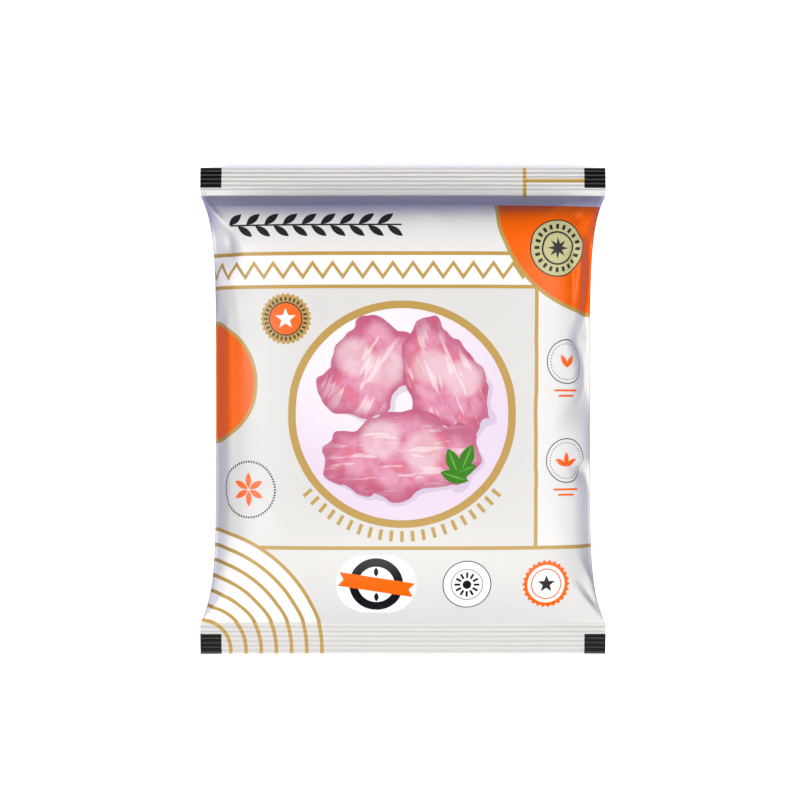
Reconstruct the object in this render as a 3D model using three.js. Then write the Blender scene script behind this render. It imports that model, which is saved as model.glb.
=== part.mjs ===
// A shut pillow pack of printed plastic film, filled with frozen meat pieces and lying on its back.
// One web of film is wrapped round, joined down the back by a fin seal, and closed at both ends by flat
// crimped seals. The filled body bulges between them, which pulls its sides in, pleats the film beside
// the seals and buckles it along the sides. The contents can't be seen, so the pack is one solid.
//
// Millimetres. +X runs across the pack, +Y towards the top of its print, +Z up. The origin is on the
// surface that the pack lies on, under the middle of the pack.

import * as THREE from 'three';

// Driving dimensions
const PACK_WIDTH = 200; // across the end seals, where the film lies flat
const PACK_LENGTH = 240; // from one cut end to the other
const TOP_SEAL_DEPTH = 13.8;
const BOTTOM_SEAL_DEPTH = 15.3;
const SEAL_THICKNESS = 0.6; // both layers of film, pressed together
const SEAL_HEIGHT = 17; // the seals stand clear of the surface, at about the middle of the bulge
const SEAL_DROOP = 1.6; // how far each seal's cut end hangs below its root
const SEAL_WAVE = { height: 0.5, halfTurns: 3, start: 0.6 }; // the seals wave up and down across the pack
const CRIMP_HEIGHT = 0.45; // from the valley to the crest of a crimp line
const TOP_CRIMPS = { pitch: 2.1, lines: 5, margin: 0.92 };
const BOTTOM_CRIMPS = { pitch: 2.35, lines: 6, margin: 1.02 };

// The filled body between the seals
const SIDE_PINCH = 8.1; // how far the bulge pulls each side in
const PINCH_REACH = 15; // the distance from a seal over which the side is pulled in
const SIDE_HEIGHT = 20; // where the side fold runs at mid-length
const FRONT_RISE = 24.3; // from the side fold up to the crown
const BACK_FALL = 30; // from the side fold down, before the surface below flattens it
const FLATTENING = 6.5; // height over which the back eases into its flat base
const TOP_FULLNESS = 14; // larger makes the bulge start more steeply at that seal
const BOTTOM_FULLNESS = 6.5;
const SIDE_FULLNESS = 3.4; // larger makes the cross-section squarer
const SIDE_ROUNDNESS = 0.54; // smaller makes the sides rounder

// The fin seal down the middle of the back, folded flat against it
const FIN_THICKNESS = 0.4;
const FIN_EDGES = [-0.025, 0.095]; // as shares of the pack's half width
const FIN_STEP = 0.006; // over which its edges rise, as a share of the half width too

// Faceting
const COLUMNS_PER_SIDE = 15;
const BODY_ROWS = 36;
const CLEAR_OF_FIN = 0.04; // no other column runs closer to the fin's edges, as a share of the half width
const ROW_CROWDING = 0.86; // how much closer the rows stand near the seals, up to 1
const CRIMP_SLOPES = [0.12, 0.38, 0.62, 0.88]; // where a crimp line's valley and crest start and end

const BODY_TOP = PACK_LENGTH / 2 - TOP_SEAL_DEPTH;
const BODY_BOTTOM = BOTTOM_SEAL_DEPTH - PACK_LENGTH / 2;
const BODY_MIDDLE = (BODY_TOP + BODY_BOTTOM) / 2;
const BODY_HALF_LENGTH = (BODY_TOP - BODY_BOTTOM) / 2;

// Creases that show on the front. Each is a straight ridge, or a valley where its height is negative,
// that fades towards both ends: [x, y] to [x, y].
const FRONT_CREASES = [
  // Pulled from the four corners, where the bulge meets a seal's end
  { from: [-98, 105], to: [-78, 82], height: 2.3, width: 4.5 },
  { from: [98, 105], to: [87, 82], height: 1.9, width: 4.5 },
  { from: [-98, -104], to: [-77, -79], height: 2.0, width: 5 },
  { from: [98, -103], to: [78, -79], height: 2.0, width: 4.5 },
  // Hollows and a ridge beside them
  { from: [-89, 104], to: [-81, 76], height: -1.2, width: 4.5 },
  { from: [86, 100], to: [81, 38], height: -1.2, width: 4.5 },
  { from: [88, 86], to: [85, 46], height: 1.6, width: 3.5 },
  { from: [97, -97], to: [83, -74], height: -1.5, width: 4.5 },
  // Long soft folds down the body
  { from: [-89, 86], to: [-77, 8], height: 1.1, width: 5.5 },
  { from: [8, 104], to: [32, 84], height: 0.9, width: 6 },
];
const CREASE_FADE = 0.12; // how far each end lies from the point where the crease would be gone, in lengths
const CREASE_LIMIT = 0.2; // the share of the bulge under which creases fade, so none reaches a seal

// Buckles, where the shortened side fold dents inwards: side is -1 for left and 1 for right, and length
// is half of the dent's length along the fold.
const SIDE_BUCKLES = [
  { side: 1, y: 63, length: 26, reach: 12, depth: 4.2 },
  { side: 1, y: 17, length: 19, reach: 12.5, depth: 4.2 },
  { side: 1, y: -45, length: 32, reach: 13, depth: 3.4 },
  { side: -1, y: 65, length: 13, reach: 14, depth: 2.8 },
  { side: -1, y: -10, length: 64, reach: 9, depth: 2.6 },
];
const BUCKLE_RIM = 1.45; // nearer 1 makes the rim of a buckle sharper

const clamp01 = (value) => Math.min(1, Math.max(0, value));
const bell = (distance, width) => Math.exp(-((distance / width) ** 2));

// The larger of two values, with the change from one to the other rounded over the given span
function easedMax(a, b, span) {
  const overlap = Math.max(0, span - Math.abs(a - b)) / span;
  return Math.max(a, b) + (overlap * overlap * span) / 4;
}

// 0 on the seals and towards 1 in the body, rising within a short reach of each seal
function pinch(y) {
  const fromTop = Math.max(0, BODY_TOP - y);
  const fromBottom = Math.max(0, y - BODY_BOTTOM);
  return (1 - Math.exp(-fromTop / PINCH_REACH)) * (1 - Math.exp(-fromBottom / PINCH_REACH));
}

const halfWidth = (y) => PACK_WIDTH / 2 - SIDE_PINCH * pinch(y);

// 0 on the seals and 1 at the body's middle
function fullness(y) {
  const share = clamp01(Math.abs(y - BODY_MIDDLE) / BODY_HALF_LENGTH);
  return 1 - share ** (y > BODY_MIDDLE ? TOP_FULLNESS : BOTTOM_FULLNESS);
}

// 1 at the middle of a cross-section and 0 at its sides
const roundness = (share) => Math.max(0, 1 - Math.abs(share) ** SIDE_FULLNESS) ** SIDE_ROUNDNESS;

// The crimp lines across a seal: 0.5 on a crest and -0.5 in a valley, inwards from the cut end
function crimp(inwards, { pitch, lines, margin }) {
  const along = (inwards - margin) / pitch;
  if (along <= 0 || along >= lines) return 0;
  return Math.abs((along % 1) - 0.5) < 0.25 ? -0.5 : 0.5;
}

// How far the film of a row stands above or below its seal's own plane
function crimpHeight(y) {
  const fromTopEnd = PACK_LENGTH / 2 - y;
  const fromBottomEnd = y + PACK_LENGTH / 2;
  if (fromTopEnd < TOP_SEAL_DEPTH) return CRIMP_HEIGHT * crimp(fromTopEnd, TOP_CRIMPS);
  if (fromBottomEnd < BOTTOM_SEAL_DEPTH) return CRIMP_HEIGHT * crimp(fromBottomEnd, BOTTOM_CRIMPS);
  return 0;
}

// Height of the middle of the film at the side fold, carried on across the seals
function foldHeight(x, y) {
  const fromTop = y - BODY_TOP;
  const fromBottom = BODY_BOTTOM - y;
  const outward = Math.max(0, fromTop / TOP_SEAL_DEPTH, fromBottom / BOTTOM_SEAL_DEPTH);
  const flat = 1 - fullness(y);
  const waveAngle = (x / PACK_WIDTH) * SEAL_WAVE.halfTurns * Math.PI + SEAL_WAVE.start;
  const wave = SEAL_WAVE.height * flat * Math.sin(waveAngle);
  return SIDE_HEIGHT - (SIDE_HEIGHT - SEAL_HEIGHT) * flat - SEAL_DROOP * outward ** 2 + wave;
}

function creaseHeight(x, y, { from, to, height, width }) {
  const run = [to[0] - from[0], to[1] - from[1]];
  const along = ((x - from[0]) * run[0] + (y - from[1]) * run[1]) / (run[0] ** 2 + run[1] ** 2);
  const on = clamp01(along);
  const distance = Math.hypot(x - from[0] - on * run[0], y - from[1] - on * run[1]);
  return height * Math.sin(Math.PI * (CREASE_FADE + (1 - 2 * CREASE_FADE) * on)) * bell(distance, width);
}

function buckleDepth(x, y, { side, y: middle, length, reach, depth }) {
  const inwards = halfWidth(y) - side * x;
  const left = 1 - ((y - middle) / length) ** 2 - (inwards / reach) ** 2;
  return depth * Math.max(0, left) ** BUCKLE_RIM;
}

const sum = (list, value) => list.reduce((total, item) => total + value(item), 0);

// Height of the front film
function frontHeight(share, x, y) {
  const bulge = fullness(y) * roundness(share);
  const creases = sum(FRONT_CREASES, (crease) => creaseHeight(x, y, crease));
  const buckles = sum(SIDE_BUCKLES, (buckle) => buckleDepth(x, y, buckle));
  const fade = clamp01(bulge / CREASE_LIMIT);
  return foldHeight(x, y) + SEAL_THICKNESS / 2 + FRONT_RISE * bulge + (creases - buckles) * fade;
}

// Height of the back film, flattened where it rests, with the fin seal standing out of it
function backHeight(share, x, y) {
  const bulge = fullness(y) * roundness(share);
  const free = foldHeight(x, y) - SEAL_THICKNESS / 2 - BACK_FALL * bulge;
  const resting = easedMax(free, FIN_THICKNESS, FLATTENING);
  const onFin = share >= FIN_EDGES[0] && share <= FIN_EDGES[1];
  return onFin ? resting - FIN_THICKNESS : resting;
}

// Where the columns of facets run, as shares of the half width: closer together near the sides
function columnShares() {
  const shares = [FIN_EDGES[0] - FIN_STEP, FIN_EDGES[0], FIN_EDGES[1], FIN_EDGES[1] + FIN_STEP];
  for (let i = 0; i <= 2 * COLUMNS_PER_SIDE; i++) {
    const share = Math.sin(((i / COLUMNS_PER_SIDE - 1) * Math.PI) / 2);
    if (FIN_EDGES.every((edge) => Math.abs(share - edge) > CLEAR_OF_FIN)) shares.push(share);
  }
  return shares.sort((a, b) => a - b);
}

// Rows across a crimped seal, from its cut end inwards
function sealRows(sealDepth, { pitch, lines, margin }) {
  const rows = [0, margin];
  for (let line = 0; line < lines; line++) {
    rows.push(...CRIMP_SLOPES.map((slope) => margin + (line + slope) * pitch));
  }
  return [...rows, margin + lines * pitch, sealDepth];
}

function rowPositions() {
  const top = sealRows(TOP_SEAL_DEPTH, TOP_CRIMPS).map((inwards) => PACK_LENGTH / 2 - inwards);
  const bottom = sealRows(BOTTOM_SEAL_DEPTH, BOTTOM_CRIMPS).map((inwards) => inwards - PACK_LENGTH / 2);
  const body = [];
  const lastAngle = (ROW_CROWDING * Math.PI) / 2;
  for (let j = 1; j < BODY_ROWS; j++) {
    const share = Math.sin(((2 * j) / BODY_ROWS - 1) * lastAngle) / Math.sin(lastAngle);
    body.push(BODY_MIDDLE + BODY_HALF_LENGTH * share);
  }
  return [...bottom, ...body, ...top.reverse()];
}

// Each row is one closed ring: the front from left to right, then the back from right to left.
function packGeometry() {
  const shares = columnShares();
  const rows = rowPositions();
  const ringSize = 2 * shares.length;
  const positions = [];
  for (const y of rows) {
    const rib = crimpHeight(y);
    const width = halfWidth(y);
    for (const share of shares) positions.push(share * width, y, frontHeight(share, share * width, y) + rib);
    for (const share of [...shares].reverse())
      positions.push(share * width, y, backHeight(share, share * width, y) + rib);
  }
  const triangles = [];
  for (let row = 0; row < rows.length - 1; row++) {
    for (let i = 0; i < ringSize; i++) {
      const [a, b] = [row * ringSize + i, row * ringSize + ((i + 1) % ringSize)];
      triangles.push(a, b, b + ringSize, a, b + ringSize, a + ringSize);
    }
  }
  const lastRing = (rows.length - 1) * ringSize;
  for (let i = 0; i < shares.length - 1; i++) {
    const across = ringSize - 1 - i; // the back's point under front point i
    triangles.push(i, across, i + 1, i + 1, across, across - 1);
    triangles.push(lastRing + i, lastRing + i + 1, lastRing + across);
    triangles.push(lastRing + i + 1, lastRing + across - 1, lastRing + across);
  }
  const geometry = new THREE.BufferGeometry();
  geometry.setAttribute('position', new THREE.Float32BufferAttribute(positions, 3));
  geometry.setIndex(triangles);
  geometry.computeVertexNormals();
  return geometry;
}

const film = new THREE.MeshStandardMaterial({ color: 0xe6e6ea, roughness: 0.38, metalness: 0 });
const pillowPack = new THREE.Mesh(packGeometry(), film);
pillowPack.name = 'pillow_pack';

const pack = new THREE.Group();
pack.add(pillowPack);
export default pack;
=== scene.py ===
"""A shut pillow pack of printed plastic film, full of frozen pieces and lying on its back.

The pack is made of three pieces of film. The front and the back are one web that is folded at the
sides, so they meet along the two side folds and are pressed together in the crimped seal across
each end. The web's own two edges are joined by the fin seal, which lies folded flat down the back.

Lengths in the classes are millimetres, as on the maker's drawing, and become metres in the meshes.
X runs across the pack, Y towards the top of its print and Z up, out of its printed front.
"""

import logging
import math
from dataclasses import dataclass, field
from enum import Enum

import bpy
import numpy as np
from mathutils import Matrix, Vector


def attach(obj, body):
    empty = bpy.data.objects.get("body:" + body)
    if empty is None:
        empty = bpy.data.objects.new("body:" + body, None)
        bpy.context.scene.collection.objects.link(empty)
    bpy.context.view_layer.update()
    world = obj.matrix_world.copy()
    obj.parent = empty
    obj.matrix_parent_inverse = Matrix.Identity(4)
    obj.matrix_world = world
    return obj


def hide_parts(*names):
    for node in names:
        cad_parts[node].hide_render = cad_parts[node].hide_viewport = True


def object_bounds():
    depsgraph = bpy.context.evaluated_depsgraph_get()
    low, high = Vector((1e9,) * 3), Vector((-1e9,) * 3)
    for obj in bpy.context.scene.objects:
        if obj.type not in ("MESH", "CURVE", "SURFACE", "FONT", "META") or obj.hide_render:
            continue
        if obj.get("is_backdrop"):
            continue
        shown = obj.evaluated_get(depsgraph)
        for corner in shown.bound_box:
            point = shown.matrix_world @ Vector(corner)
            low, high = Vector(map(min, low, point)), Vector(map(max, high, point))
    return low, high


LOG = logging.getLogger("pillow_pack")
MM = 0.001
NODE = "pillow_pack"
WEB_MAP = "web"  # UV map: millimetres on the film, from the middle of its panel
SHEET_MAP = "OFBake"  # UV map: the outside of a piece spread over a unit square

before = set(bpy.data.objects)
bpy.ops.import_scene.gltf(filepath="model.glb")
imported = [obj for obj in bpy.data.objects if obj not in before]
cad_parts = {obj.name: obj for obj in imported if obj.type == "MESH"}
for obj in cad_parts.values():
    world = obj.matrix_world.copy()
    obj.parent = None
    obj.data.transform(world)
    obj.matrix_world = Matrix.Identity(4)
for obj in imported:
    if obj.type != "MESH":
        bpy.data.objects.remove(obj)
CAD_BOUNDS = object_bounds()

Numbers = np.ndarray


# ---------------------------------------------------------------------------------------------
# Form: where the film lies
# ---------------------------------------------------------------------------------------------


def smooth_step(value: Numbers | float) -> Numbers:
    """Eases 0 to 1 with no kink at either end, and clamps what is outside.

    Args:
        value: The share of the way.

    Returns:
        The eased share.
    """
    share = np.clip(value, 0.0, 1.0)
    return share * share * (3.0 - 2.0 * share)


def eased_max(first: Numbers, second: Numbers | float, span: float) -> Numbers:
    """The larger of two values, with the change from one to the other rounded.

    Args:
        first: One value.
        second: The other value.
        span: The difference over which the corner is rounded.

    Returns:
        The rounded maximum.
    """
    overlap = np.maximum(0.0, span - np.abs(first - second)) / span
    return np.maximum(first, second) + overlap * overlap * span / 4.0


@dataclass(frozen=True)
class Seal:
    """One crimped end seal.

    Attributes:
        depth: From the cut end to the root, where the bulge starts.
        first: From the cut end to the first crimp line.
        pitch: From one crimp line to the next.
        lines: Number of crimp lines.
        groove: Depth of a crimp line.
    """

    depth: float
    first: float
    pitch: float
    lines: int
    groove: float = 0.34

    def rows(self) -> list[float]:
        """Where the film needs rows of vertices, inwards from the cut end."""
        steps = (-0.42, -0.28, -0.17, -0.08, 0.0, 0.08, 0.17, 0.28)
        rows = [0.0, 0.35 * self.first]
        for line in range(self.lines):
            rows += [self.first + (line + step) * self.pitch for step in steps]
        rows += [self.first + (self.lines - 0.58) * self.pitch, self.depth]
        return sorted(row for row in rows if row <= self.depth)

    def relief(self, inwards: Numbers) -> Numbers:
        """Height of the crimped film over the seal's own plane.

        Args:
            inwards: Distance from the cut end.

        Returns:
            Zero between the lines and minus the groove's depth on them.
        """
        along = (inwards - self.first) / self.pitch
        nearest = np.clip(np.round(along), 0, self.lines - 1)
        return -self.groove * np.exp(-(((along - nearest) / 0.21) ** 2))


@dataclass(frozen=True)
class Crease:
    """A ridge pulled into the film, or a valley where its height is negative.

    Attributes:
        start: Where it starts, at its strongest.
        end: Where it has faded out.
        height: Its height at the strongest place.
        width: Its width at the start and at the end.
        bow: How far its middle stands off the straight line, to the left of its run.
        onset: The share of its length over which it rises.
    """

    start: tuple[float, float]
    end: tuple[float, float]
    height: float
    width: tuple[float, float]
    bow: float = 0.0
    onset: float = 0.18

    def relief(self, x: Numbers, y: Numbers) -> Numbers:
        """Height that the crease adds.

        Args:
            x: Across the pack.
            y: Along the pack.

        Returns:
            The added height.
        """
        run = (self.end[0] - self.start[0], self.end[1] - self.start[1])
        length = math.hypot(*run)
        dx, dy = x - self.start[0], y - self.start[1]
        along = (dx * run[0] + dy * run[1]) / length**2
        on = np.clip(along, 0.0, 1.0)
        aside = (run[0] * dy - run[1] * dx) / length - 4.0 * self.bow * on * (1.0 - on)
        beyond = (along - on) * length
        width = self.width[0] + (self.width[1] - self.width[0]) * on
        off = np.hypot(aside, beyond) / width
        across = np.exp(1.0 - np.sqrt(1.0 + (2.2 * off) ** 2))
        fade = smooth_step(on / self.onset) * smooth_step((1.0 - on) / (1.0 - self.onset))
        return self.height * across * fade


@dataclass(frozen=True)
class Buckle:
    """A scallop where the shortened side fold has buckled: a low rim along the fold, then a wall.

    The pairs give a value for its lower end and one for its upper end.

    Attributes:
        side: -1 on the left and 1 on the right.
        y: Where along the fold its rim is narrowest.
        length: How far it runs from there.
        near: The rim's width there.
        far: The rim's width at its ends.
        wall: How steeply the wall rises from the rim, as a rise over its run.
        slope: How steeply the rim rises where it is narrowest.
        ends: How steeply the rim rises at its ends.
        kept: The share of its depth that is left at its ends.
        ease: The depth over which the wall runs out into the film round it.
        run_out: The share of its length over which it fades out at an open end.
    """

    side: int
    y: float
    length: tuple[float, float]
    near: float
    far: tuple[float, float]
    wall: float = 2.2
    slope: float = 0.3
    ends: tuple[float, float] = (0.8, 0.8)
    kept: tuple[float, float] = (0.0, 0.0)
    ease: float = 4.0
    run_out: float = 0.35

    def relief(self, inwards: Numbers, y: Numbers, side: Numbers, plain: Numbers) -> Numbers:
        """Height that the scallop takes away, as a negative number.

        Args:
            inwards: Distance in from the side fold.
            y: Along the pack.
            side: Which half of the pack, as the sign of x.
            plain: Height of the film over the fold without it.

        Returns:
            The added height, zero or less.
        """
        low = y < self.y
        along = np.abs(y - self.y) / np.where(low, *self.length)
        share = np.minimum(along, 1.0)
        width = self.near + (np.where(low, *self.far) - self.near) * share**2.2
        slope = self.slope + (np.where(low, *self.ends) - self.slope) * share**2
        cut = slope * np.minimum(inwards, width) + self.wall * np.maximum(0.0, inwards - width)
        kept = np.where(low, *self.kept)
        fade = kept + (1.0 - kept) * smooth_step((1.0 - along) / self.run_out)
        depth = eased_max(plain - cut, 0.0, self.ease)
        return -depth * fade * ((side == self.side) & (along <= 1.0))


@dataclass(frozen=True)
class Lump:
    """A frozen piece that shows through the film as a soft rise.

    Attributes:
        x: Its middle across the pack.
        y: Its middle along the pack.
        height: Its height.
        size: The distance over which it falls off.
    """

    x: float
    y: float
    height: float
    size: float

    def relief(self, x: Numbers, y: Numbers) -> Numbers:
        """Height that the lump adds at a place."""
        return self.height * np.exp(-((x - self.x) ** 2 + (y - self.y) ** 2) / self.size**2)


@dataclass(frozen=True)
class PackForm:
    """The shape of the filled pack, worked out from its flat size and how full it is.

    Attributes:
        width: Width across the seals, where the film lies flat.
        length: From one cut end to the other.
        film: Thickness of the film.
        top: The top seal.
        bottom: The bottom seal.
        seal_height: Height of the seals' roots over the surface below.
        seal_droop: How far a seal's cut end hangs below its root.
        seal_wave: How far the seals wave up and down.
        side_pinch: How far the bulge pulls each side in.
        pinch_reach: The distance from a seal over which the side is pulled in.
        side_height: Height of the side folds at mid-length.
        front_rise: From the side folds up to the crown.
        back_fall: From the side folds down, before the surface below flattens the back.
        flattening: The height over which the back eases into its flat base.
        top_fullness: Larger makes the bulge start more steeply at the top seal.
        bottom_fullness: The same at the bottom seal.
        side_fullness: Larger makes the cross-section squarer.
        side_roundness: Smaller makes the sides rounder.
        fin_room: Height of the back over the surface below, for the fin seal under it.
        creases: The creases of the front, which the back has mirrored.
        buckles: The buckles of the side folds.
        fold_room: The share of the film's plain height that the relief leaves by the side folds.
        lumps: The pieces that show through the front.
        body_rows: Rows of vertices between the seals.
        columns_across: Columns of vertices from fold to fold.
        back_creases: Depth of the back's creases as a share of the front's.
        back_buckles: The same for its buckles.
        buckle_shift: How much lower the back's buckles are than the front's.
    """

    width: float = 200.0
    length: float = 240.0
    film: float = 0.12
    top: Seal = Seal(depth=13.8, first=1.97, pitch=2.1, lines=5)
    bottom: Seal = Seal(depth=15.3, first=2.2, pitch=2.35, lines=6)
    seal_height: float = 17.0
    seal_droop: float = 1.6
    seal_wave: float = 0.5
    side_pinch: float = 8.1
    pinch_reach: float = 15.0
    side_height: float = 20.0
    front_rise: float = 24.2
    back_fall: float = 30.0
    flattening: float = 6.5
    top_fullness: float = 14.0
    bottom_fullness: float = 6.5
    side_fullness: float = 3.4
    side_roundness: float = 0.54
    fin_room: float = 0.4
    creases: tuple[Crease, ...] = (
        # From the top left corner
        Crease((-99, 106), (-72, 75), 4.2, (1.6, 4.0), -1.0, 0.08),
        Crease((-97.5, 101), (-92.5, 84), -1.6, (1.4, 2.0), 0.0, 0.25),
        Crease((-90, 106), (-82, 96), -1.0, (2.6, 4.5), 0.0, 0.30),
        Crease((-86, 86), (-82, 73), -1.1, (2.0, 3.0), 0.0, 0.30),
        Crease((-88, 86), (-77, 8), 0.6, (3.0, 6.0), 2.0, 0.30),
        # From the top right corner
        Crease((99, 106), (87, 82), 2.8, (1.6, 3.2), -1.0, 0.08),
        Crease((87.5, 86), (85, 48), 2.0, (2.2, 2.8), 0.0, 0.12),
        Crease((83, 82), (81.5, 36), -1.3, (1.8, 2.4), 0.0, 0.20),
        Crease((87, 97), (83, 90), -1.5, (1.8, 2.6), 0.0, 0.40),
        Crease((86, 106), (62, 92), 1.1, (2.0, 5.0), 0.0, 0.15),
        # Under the top seal
        Crease((6, 106), (30, 84), 0.9, (3.0, 7.0), -3.0, 0.25),
        Crease((-36, 107), (-22, 88), 0.5, (2.0, 5.0), 0.0, 0.25),
        # From the bottom left corner
        Crease((-99, -105), (-78, -80), 3.0, (1.8, 5.0), 1.0, 0.08),
        # From the bottom right corner
        Crease((99, -104), (78, -79), 3.0, (1.6, 3.4), 0.0, 0.10),
        Crease((96, -97), (82, -77), -1.8, (1.6, 3.0), 0.0, 0.25),
        Crease((95, -90), (84, -66), 1.8, (1.6, 3.0), 0.0, 0.30),
        # Above the bottom seal
        Crease((74, -104), (34, -96), -0.7, (2.5, 5.0), 2.0, 0.30),
        Crease((-60, -105), (-40, -90), 0.5, (2.0, 6.0), 0.0, 0.25),
        # Along the left side, and between the buckles of the right side
        Crease((-85.5, 56), (-84.5, -80), 0.9, (2.6, 3.6), 0.0, 0.10),
        Crease((86, 34), (74, 32), 0.8, (1.4, 4.0), 0.0, 0.20),
        Crease((90, -10), (76, -14), 0.7, (2.0, 4.5), 0.0, 0.20),
    )
    buckles: tuple[Buckle, ...] = (
        Buckle(1, 62.5, (28, 26), 0.8, (8.2, 3.0), 2.35, kept=(1.0, 0.0)),
        Buckle(
            1, 16.3, (28, 18.2), 2.8, (24.0, 8.2), 2.35, ends=(1.1, 0.8), kept=(0.0, 1.0),
            run_out=1.0,
        ),
        Buckle(1, -42, (48, 19), 0.4, (0.6, 9.0), 1.85, ends=(0.8, 1.0)),
        Buckle(-1, 83, (17, 14), 9.0, (9.0, 5.0), 1.8, 0.8, (0.8, 0.8), ease=3.0, run_out=1.0),
        Buckle(-1, -10, (78, 62), 0.3, (0.6, 0.3), 1.8, 0.8, (0.8, 0.8), ease=3.0, run_out=0.2),
    )
    fold_room: float = 0.2
    lumps: tuple[Lump, ...] = (
        Lump(-34, 28, 0.7, 34),
        Lump(38, 44, 0.5, 30),
        Lump(30, -40, 0.7, 36),
        Lump(-46, -52, 0.5, 30),
    )
    body_rows: int = 140
    columns_across: int = 153
    back_creases: float = 0.8
    back_buckles: float = 0.7
    buckle_shift: float = 8.0

    @property
    def body_top(self) -> float:
        """Where the top seal ends and the bulge starts."""
        return self.length / 2.0 - self.top.depth

    @property
    def body_bottom(self) -> float:
        """Where the bottom seal ends and the bulge starts."""
        return self.bottom.depth - self.length / 2.0

    def body_span(self) -> tuple[float, float]:
        """The middle of the bulge along the pack, and half its length."""
        return (self.body_top + self.body_bottom) / 2.0, (self.body_top - self.body_bottom) / 2.0

    def rows(self) -> Numbers:
        """Positions along the pack at which the film has a row of vertices, from the bottom up."""
        middle, half = self.body_span()
        crowding = 0.8 * math.pi / 2.0
        turns = np.linspace(-crowding, crowding, self.body_rows + 2)[1:-1]
        body = middle + half * np.sin(turns) / math.sin(crowding)
        top = [self.length / 2.0 - row for row in self.top.rows()]
        bottom = [row - self.length / 2.0 for row in self.bottom.rows()]
        return np.array(sorted([*bottom, *body, *top]))

    def columns(self) -> Numbers:
        """Positions across the film as shares of its half width, crowded towards the side folds."""
        turns = np.linspace(-1.0, 1.0, self.columns_across)
        even = 0.12
        return even * turns + (1.0 - even) * np.sin(turns * math.pi / 2.0)

    def into_body(self, y: Numbers) -> tuple[Numbers, Numbers]:
        """Distances past the roots of the top and the bottom seal, zero on the seals."""
        return np.maximum(0.0, self.body_top - y), np.maximum(0.0, y - self.body_bottom)

    def half_width(self, y: Numbers) -> Numbers:
        """Half the width between the side folds, which the bulge has pulled in."""
        from_top, from_bottom = self.into_body(y)
        reach = self.pinch_reach
        pinch = (1.0 - np.exp(-from_top / reach)) * (1.0 - np.exp(-from_bottom / reach))
        return self.width / 2.0 - self.side_pinch * pinch

    def fullness(self, y: Numbers) -> Numbers:
        """How far the pack is bulged, from 0 on the seals to 1 at mid-length."""
        middle, half = self.body_span()
        share = np.clip(np.abs(y - middle) / half, 0.0, 1.0)
        return 1.0 - share ** np.where(y > middle, self.top_fullness, self.bottom_fullness)

    def roundness(self, share: Numbers) -> Numbers:
        """How far a cross-section is bulged, from 0 at the side folds to 1 in the middle."""
        room = np.maximum(0.0, 1.0 - np.abs(share) ** self.side_fullness)
        return room**self.side_roundness

    def fold_height(self, x: Numbers, y: Numbers) -> Numbers:
        """Height of the side folds, carried across as the middle plane of the seals."""
        over_top = (y - self.body_top) / self.top.depth
        over_bottom = (self.body_bottom - y) / self.bottom.depth
        outward = np.maximum(0.0, np.maximum(over_top, over_bottom))
        flat = 1.0 - self.fullness(y)
        wave = self.seal_wave * flat * np.sin(x / self.width * 3.0 * math.pi + 0.6)
        lift = self.side_height - (self.side_height - self.seal_height) * flat
        return lift - self.seal_droop * outward**2 + wave

    def crimp(self, y: Numbers) -> Numbers:
        """Relief of the crimp lines, which both films share."""
        from_top = self.length / 2.0 - y
        from_bottom = y + self.length / 2.0
        on_top = (from_top < self.top.depth) * self.top.relief(from_top)
        on_bottom = (from_bottom < self.bottom.depth) * self.bottom.relief(from_bottom)
        return on_top + on_bottom

    def puckers(self, x: Numbers, y: Numbers) -> Numbers:
        """Small gathers that run from the roots of the seals into the body."""
        from_top, from_bottom = self.into_body(y)
        near = from_top / 5.0 * np.exp(1.0 - from_top / 5.0)
        comb = np.sin(x * 0.41 + 0.9) + 0.7 * np.sin(x * 0.67 + 2.0) * np.sin(x * 0.13)
        low = from_bottom / 6.0 * np.exp(1.0 - from_bottom / 6.0)
        other = np.sin(x * 0.36 + 2.2) + 0.7 * np.sin(x * 0.73) * np.sin(x * 0.11 + 1.0)
        return 0.09 * (near * comb + low * other)

    def front(self, share: Numbers, x: Numbers, y: Numbers) -> Numbers:
        """Height of the outside of the front film.

        Args:
            share: Across the film, from -1 to 1.
            x: Across the pack.
            y: Along the pack.

        Returns:
            The height over the surface that the pack lies on.
        """
        bulge = self.fullness(y) * self.roundness(share)
        plain = self.front_rise * bulge
        inwards = self.half_width(y) - np.abs(x)
        relief = self.puckers(x, y)
        for crease in self.creases:
            relief = relief + crease.relief(x, y)
        for buckle in self.buckles:
            relief = relief + buckle.relief(inwards, y, np.sign(x), plain)
        for lump in self.lumps:
            relief = relief + lump.relief(x, y)
        seal = self.seal_gap(y)
        held = np.clip(bulge / 0.2, 0.0, 1.0)
        raised = np.maximum(plain + relief * held, self.fold_room * plain)
        return self.fold_height(x, y) + seal + raised

    def seal_gap(self, y: Numbers) -> Numbers:
        """Half the thickness of the two films where they are pressed together, gone in the body."""
        from_top, from_bottom = self.into_body(y)
        into = np.minimum(from_top, from_bottom)
        return self.film * (1.0 - smooth_step(into / 2.0))

    def back(self, share: Numbers, x: Numbers, y: Numbers) -> Numbers:
        """Height of the outside of the back film, flattened where the pack rests.

        Args:
            share: Across the film, from -1 to 1.
            x: Across the pack.
            y: Along the pack.

        Returns:
            The height over the surface that the pack lies on.
        """
        bulge = self.fullness(y) * self.roundness(share)
        plain = self.front_rise * bulge
        inwards = self.half_width(y) - np.abs(x)
        relief = -self.puckers(-x, y)
        for crease in self.creases:
            relief = relief - self.back_creases * crease.relief(-x, y)
        for buckle in self.buckles:
            dent = buckle.relief(inwards, y + self.buckle_shift, np.sign(x), plain)
            relief = relief - self.back_buckles * dent
        held = np.clip(bulge / 0.2, 0.0, 1.0)
        free = self.fold_height(x, y) - self.seal_gap(y) - self.back_fall * bulge + relief * held
        return eased_max(free, self.fin_room, self.flattening)


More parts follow.
